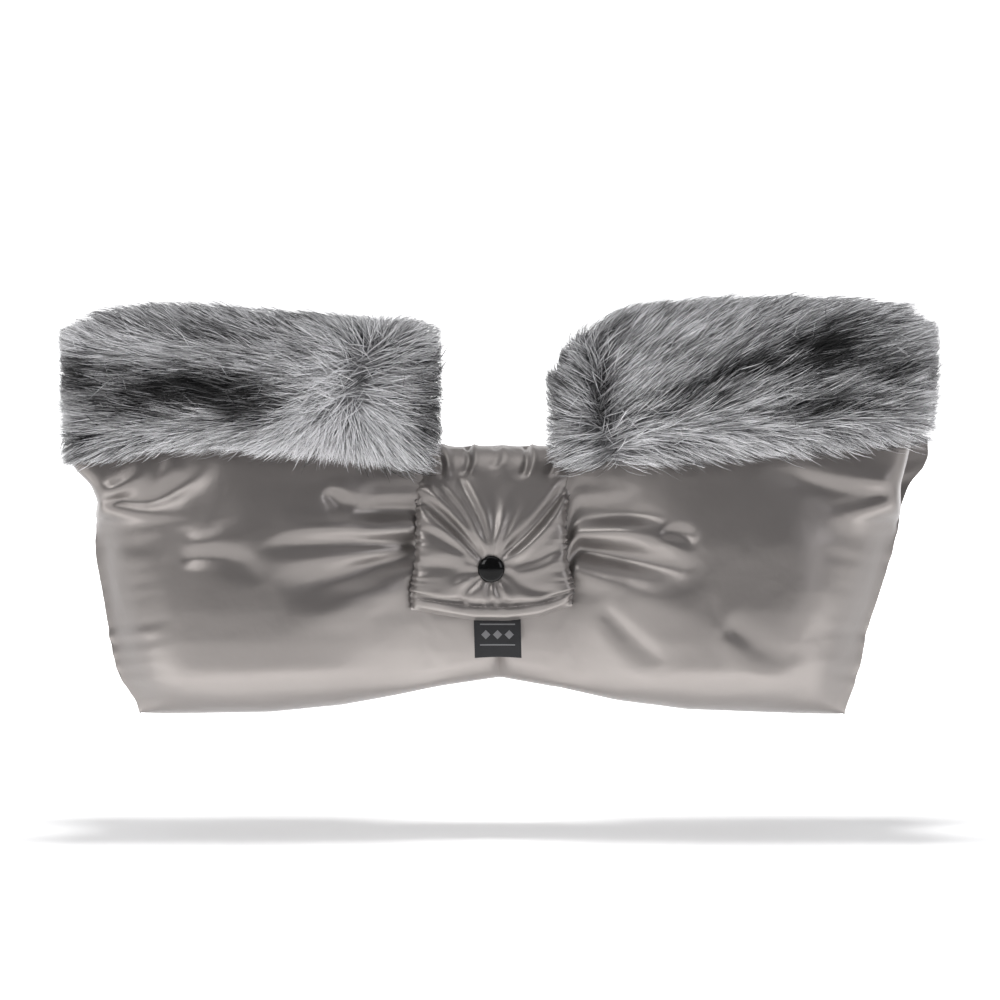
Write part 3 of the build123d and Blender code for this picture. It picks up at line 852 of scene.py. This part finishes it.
def color_ramp(nodes, *stops):
    """A colour ramp through stops of (place, colour), given from low to high."""
    made = nodes.new("ShaderNodeValToRGB")
    elements = made.color_ramp.elements
    elements[0].position = stops[0][0]
    elements[1].position = stops[-1][0]
    for place, _ in stops[1:-1]:
        elements.new(place)
    for element, (_, color) in zip(elements, stops):
        element.color = (*color, 1)
    return made


def noise_bump(nodes, links, position, scale, detail, strength, distance, under=None):
    """The normal of a fine noise bump, laid over the normal under."""
    noise = node(nodes, "ShaderNodeTexNoise", Scale=scale, Detail=detail)
    bump = node(nodes, "ShaderNodeBump", Strength=strength, Distance=distance)
    links.new(position, noise.inputs["Vector"])
    links.new(noise.outputs["Fac"], bump.inputs["Height"])
    if under:
        links.new(under, bump.inputs["Normal"])
    return bump.outputs["Normal"]


def color_noise(nodes, links, shader, position, scale, low, high):
    """Base colour that drifts between two shades."""
    noise = node(nodes, "ShaderNodeTexNoise", Scale=scale, Detail=3.0)
    ramp = color_ramp(nodes, (0.3, low), (0.7, high))
    links.new(position, noise.inputs["Vector"])
    links.new(noise.outputs["Fac"], ramp.inputs["Fac"])
    links.new(ramp.outputs["Color"], shader.inputs["Base Color"])


def weave_bump(nodes, links, shader, position, scale, strength, distance):
    """Fine over-and-under weave, as a bump."""
    heights = []
    for direction in ("X", "Z"):
        wave = node(nodes, "ShaderNodeTexWave", Scale=scale, Distortion=0.6, Detail=1.0)
        wave.bands_direction = direction
        links.new(position, wave.inputs["Vector"])
        heights.append(wave.outputs["Fac"])
    both = nodes.new("ShaderNodeMath")
    both.operation = "MULTIPLY"
    links.new(heights[0], both.inputs[0])
    links.new(heights[1], both.inputs[1])
    bump = node(nodes, "ShaderNodeBump", Strength=strength, Distance=distance)
    links.new(both.outputs[0], bump.inputs["Height"])
    links.new(bump.outputs["Normal"], shader.inputs["Normal"])


def nylon_material():
    m, nodes, links, shader = material("taupe_nylon", (0.32, 0.297, 0.284), 0.38, 0.7, 0.06)
    shader.inputs["Sheen Tint"].default_value = (0.72, 0.72, 0.95, 1)
    shader.inputs["Sheen Roughness"].default_value = 0.4
    shader.inputs["Specular IOR Level"].default_value = 0.62
    position = nodes.new("ShaderNodeTexCoord").outputs["Object"]
    color_noise(nodes, links, shader, position, 9.0, (0.252, 0.231, 0.22), (0.296, 0.273, 0.26))
    broad = noise_bump(nodes, links, position, 42.0, 3.0, 0.22, 0.0022)
    fine = noise_bump(nodes, links, position, 260.0, 2.0, 0.10, 0.0004, broad)
    links.new(fine, shader.inputs["Normal"])
    return m


def fleece_material():
    m, nodes, links, shader = material("grey_fleece", (0.42, 0.42, 0.43), 0.95, 0.0, 0.5)
    position = nodes.new("ShaderNodeTexCoord").outputs["Object"]
    color_noise(nodes, links, shader, position, 160.0, (0.33, 0.33, 0.34), (0.5, 0.5, 0.51))
    links.new(noise_bump(nodes, links, position, 420.0, 4.0, 0.7, 0.0012), shader.inputs["Normal"])
    return m


def binding_material():
    m, nodes, links, shader = material("woven_binding", (0.075, 0.07, 0.068), 0.7)
    position = nodes.new("ShaderNodeTexCoord").outputs["Object"]
    color_noise(nodes, links, shader, position, 90.0, (0.062, 0.058, 0.056), (0.095, 0.09, 0.088))
    weave_bump(nodes, links, shader, position, 700.0, 0.35, 0.0003)
    return m


def fur_material():
    m, nodes, links, shader = material("faux_fur", (0.3, 0.3, 0.31), 0.48)
    shader.inputs["Specular IOR Level"].default_value = 0.3
    tone = nodes.new("ShaderNodeAttribute")
    tone.attribute_name = "tone"
    along = nodes.new("ShaderNodeAttribute")
    along.attribute_name = "along"
    shades = ((0.0, 0.012), (0.22, 0.05), (0.48, 0.30), (0.72, 0.72), (1.0, 0.95))
    ramp = color_ramp(nodes, *((place, (shade, shade * 0.995, shade * 1.01)) for place, shade in shades))
    root = color_ramp(nodes, (0.0, (0.27, 0.27, 0.275)), (0.62, (1, 1, 1)))
    mix = nodes.new("ShaderNodeMix")
    mix.data_type = "RGBA"
    mix.blend_type = "MULTIPLY"
    mix.inputs["Factor"].default_value = 1.0
    links.new(tone.outputs["Fac"], ramp.inputs["Fac"])
    links.new(along.outputs["Fac"], root.inputs["Fac"])
    links.new(ramp.outputs["Color"], mix.inputs[6])            # 6, 7 and 2 are A, B and Result as colours
    links.new(root.outputs["Color"], mix.inputs[7])
    links.new(mix.outputs[2], shader.inputs["Base Color"])
    return m


def label_material():
    """Charcoal ribbon with a plain band of woven diamonds."""
    m, nodes, links, shader = material("label_weave", (0.03, 0.03, 0.032), 0.75)
    shader.inputs["Specular IOR Level"].default_value = 0.2
    position = nodes.new("ShaderNodeTexCoord").outputs["Object"]
    place = nodes.new("ShaderNodeSeparateXYZ")
    links.new(position, place.inputs["Vector"])

    def math_node(operation, a, b=None):
        made = nodes.new("ShaderNodeMath")
        made.operation = operation
        for index, value in enumerate((a, b)):
            if value is None:
                continue
            if isinstance(value, (int, float)):
                made.inputs[index].default_value = value
            else:
                links.new(value, made.inputs[index])
        return made.outputs[0]

    pitch = 0.0066
    middle_x = (LABEL_LOW[0] + LABEL_HIGH[0]) / 2 * MM
    middle_z = (LABEL_LOW[2] * 0.56 + LABEL_HIGH[2] * 0.44) * MM
    across = math_node("ABSOLUTE", math_node("SUBTRACT", place.outputs["X"], middle_x))
    cell = math_node("PINGPONG", across, pitch / 2)
    up = math_node("ABSOLUTE", math_node("SUBTRACT", place.outputs["Z"], middle_z))
    diamond = math_node("LESS_THAN", math_node("ADD", cell, up), 0.0026)
    inside = math_node("LESS_THAN", across, pitch * 1.5)
    mask = math_node("MULTIPLY", diamond, inside)
    line = math_node("LESS_THAN", math_node("ABSOLUTE", math_node("SUBTRACT", up, 0.0058)), 0.00035)
    mask = math_node("MAXIMUM", mask, math_node("MULTIPLY", line, inside))
    ramp = color_ramp(nodes, (0.0, (0.032, 0.032, 0.034)), (1.0, (0.20, 0.20, 0.205)))
    links.new(mask, ramp.inputs["Fac"])
    links.new(ramp.outputs["Color"], shader.inputs["Base Color"])
    weave_bump(nodes, links, shader, position, 900.0, 0.5, 0.0002)
    return m


def hard_material(name, color, roughness, metallic, specular=0.5):
    m, nodes, links, shader = material(name, color, roughness, metallic)
    shader.inputs["Specular IOR Level"].default_value = specular
    position = nodes.new("ShaderNodeTexCoord").outputs["Object"]
    links.new(noise_bump(nodes, links, position, 300.0, 2.0, 0.03, 0.0002), shader.inputs["Normal"])
    return m


# ---------------------------------------------------------------- build
NYLON = nylon_material()
FLEECE = fleece_material()
BINDING = binding_material()
FUR = fur_material()
SNAP_BLACK = hard_material("snap_black", (0.004, 0.004, 0.004), 0.09, 0.0, 0.22)
SNAP_METAL = hard_material("snap_metal", (0.05, 0.05, 0.055), 0.32, 0.9)
LABEL = label_material()

for side in SIDES:
    shell = make_shell(side, NYLON)
    shape = (2 * WALL_ROWS - 1, WALL_COLUMNS, 3)
    lining, lining_grid = make_lining(side, FLEECE)
    strips = close_pouch(side, shell, shape, lining_grid, NYLON)
    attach(shell, "muff")
    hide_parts(f"shell_{side}", f"wadding_front_{side}", f"wadding_back_{side}")
    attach(lining, "muff")
    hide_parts(f"lining_{side}")
    for strip in strips:
        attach(strip, "muff")
    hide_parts(f"slit_binding_{side}")

straps, hem, tail_end, strap_face = make_strap(NYLON)
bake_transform(straps["tail"])
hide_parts("strap_tail")
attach(straps["front"], "strap")
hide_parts("strap_shell", "strap_wadding", "strap_lining")
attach(hem, "strap")
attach(tail_end, "muff")

stitches = make_stitches(strap_face, NYLON)
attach(stitches, "strap")

cap = make_snap_cap(SNAP_BLACK)
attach(cap, "strap")
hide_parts("snap_cap")
label, label_flat = make_label(LABEL)
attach(label, "strap")
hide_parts("woven_label")

FUR_COUNT = {"front": 24000, "back": 15000}
for side in SIDES:
    for face in ("front", "back"):
        count = FUR_COUNT[face] // 1
        base, pile = make_cuff(side, face, count, 90 + len(side) + 7 * len(face), FUR)
        for piece in (base, pile):
            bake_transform(piece)
        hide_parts(f"fur_cuff_{face}_{side}", f"cuff_wadding_{face}_{side}")

KEPT = {"centre_seam_tape": BINDING, "snap_socket": SNAP_METAL, "snap_stud": SNAP_METAL,
        "snap_post": SNAP_METAL}
for name, finish in KEPT.items():
    kept = bpy.data.objects[name]
    kept.data.materials.clear()
    kept.data.materials.append(finish)


# ---------------------------------------------------------------- stage, light and camera
FLOOR_Z = -0.193                             # metres, like everything below


def make_stage():
    """Pale studio floor that curves up into a far wall, whiter away from the object. It is lit by the lamps
    and glows as well. The glow is painted light: faint under the object where the lamp's shadow falls, a
    little brighter just in front of it, none far in front, and full from a little behind it onto the far
    wall.
    """
    profile = [(-7.0, 0), (3.6, 0), (4.4, 0.06), (5.0, 0.6), (5.3, 1.8), (5.4, 5.0)]
    line = cubic(profile, 80)
    xs = np.linspace(-7, 7, 3)
    grid = np.stack([np.stack([xs, np.full(3, y), np.full(3, FLOOR_Z + z)], 1) for y, z in line]) / MM
    m, nodes, links, shader = material("glowing_studio_paper", (0.8, 0.8, 0.8), 0.9)
    place = nodes.new("ShaderNodeTexCoord")
    split = nodes.new("ShaderNodeSeparateXYZ")
    spread = nodes.new("ShaderNodeMapRange")
    spread.inputs["From Min"].default_value = -2.0
    spread.inputs["From Max"].default_value = 2.0
    shades = ((0.0, 0), (0.2, 0.02), (0.31, 0.2), (0.38, 0.15), (0.45, 0.1), (0.58, 0.12), (0.85, 1))
    glow = color_ramp(nodes, *((at, (shade, shade, shade)) for at, shade in shades))
    links.new(place.outputs["Object"], split.inputs["Vector"])
    links.new(split.outputs["Y"], spread.inputs["Value"])
    links.new(spread.outputs["Result"], glow.inputs["Fac"])
    # Painted light: the paper glows by this ramp, and the glow also lights the object's lower faces.
    links.new(glow.outputs["Color"], shader.inputs["Emission Color"])
    shader.inputs["Emission Strength"].default_value = 1.1
    floor = new_mesh("studio_floor", grid.reshape(-1, 3), grid_faces(len(line), 3), m)
    return floor


def softbox(name, place, aim, wide, high, power, tint=(1, 1, 1)):
    lamp = bpy.data.lights.new(name, "AREA")
    lamp.shape = "RECTANGLE"
    lamp.size = wide
    lamp.size_y = high
    lamp.energy = power
    lamp.color = tint
    obj = bpy.data.objects.new(name, lamp)
    obj.location = place
    obj.rotation_euler = (Vector(aim) - Vector(place)).to_track_quat("-Z", "Y").to_euler()
    bpy.context.scene.collection.objects.link(obj)
    return obj


floor = make_stage()
softbox("top_box", (0.0, -0.1, 1.5), (0, 0, 0), 1.6, 1.0, 6)
softbox("left_box", (-1.0, -1.1, 0.9), (0, 0, 0), 0.6, 0.8, 7.5)
softbox("right_box", (1.2, -1.0, 0.5), (0, 0, 0), 0.4, 0.8, 3.5, (0.95, 0.96, 1.0))
low_box = softbox("low_box", (0.0, -0.055, -0.185), (0, -0.055, 0), 0.9, 0.11, 0.42)
low_box.visible_camera = False
shadow_box = softbox("shadow_box", (0.0, -0.02, 2.6), (0, -0.02, 0), 0.7, 0.4, 52)
floor_only = bpy.data.collections.new("floor_only")
floor_only.objects.link(floor)
shadow_box.light_linking.receiver_collection = floor_only


def make_world():
    """Studio surroundings: dark behind the camera, lighter at the sides and behind the object."""
    world = bpy.data.worlds.new("studio")
    bpy.context.scene.world = world
    world.use_nodes = True
    nodes, links = world.node_tree.nodes, world.node_tree.links
    place = nodes.new("ShaderNodeTexCoord")
    split = nodes.new("ShaderNodeSeparateXYZ")
    spread = nodes.new("ShaderNodeMapRange")
    spread.inputs["From Min"].default_value = -1.0
    ramp = color_ramp(nodes, (0.0, (0.10, 0.10, 0.11)), (0.25, (0.22, 0.22, 0.235)), (1.0, (0.9, 0.9, 0.9)))
    links.new(place.outputs["Generated"], split.inputs["Vector"])
    links.new(split.outputs["Y"], spread.inputs["Value"])
    links.new(spread.outputs["Result"], ramp.inputs["Fac"])
    links.new(ramp.outputs["Color"], nodes["Background"].inputs["Color"])
    nodes["Background"].inputs["Strength"].default_value = 0.8


make_world()

AIM = Vector((0, -0.045, -0.0056))
DISTANCE = 2.4
LIFT = math.radians(2.6)                     # how far above the object's middle the camera is
SEEN_WIDTH = 0.56                            # width of the picture at the object
SENSOR = 36                                  # mm
camera_data = bpy.data.cameras.new("camera")
camera_data.sensor_width = SENSOR
camera_data.lens = SENSOR * DISTANCE / SEEN_WIDTH
camera_data.clip_end = 20
camera = bpy.data.objects.new("camera", camera_data)
camera.location = AIM + DISTANCE * Vector((0, -math.cos(LIFT), math.sin(LIFT)))
camera.rotation_euler = (AIM - camera.location).to_track_quat("-Z", "Y").to_euler()
bpy.context.scene.collection.objects.link(camera)
bpy.context.scene.camera = camera

bpy.context.scene.view_settings.view_transform = "Standard"
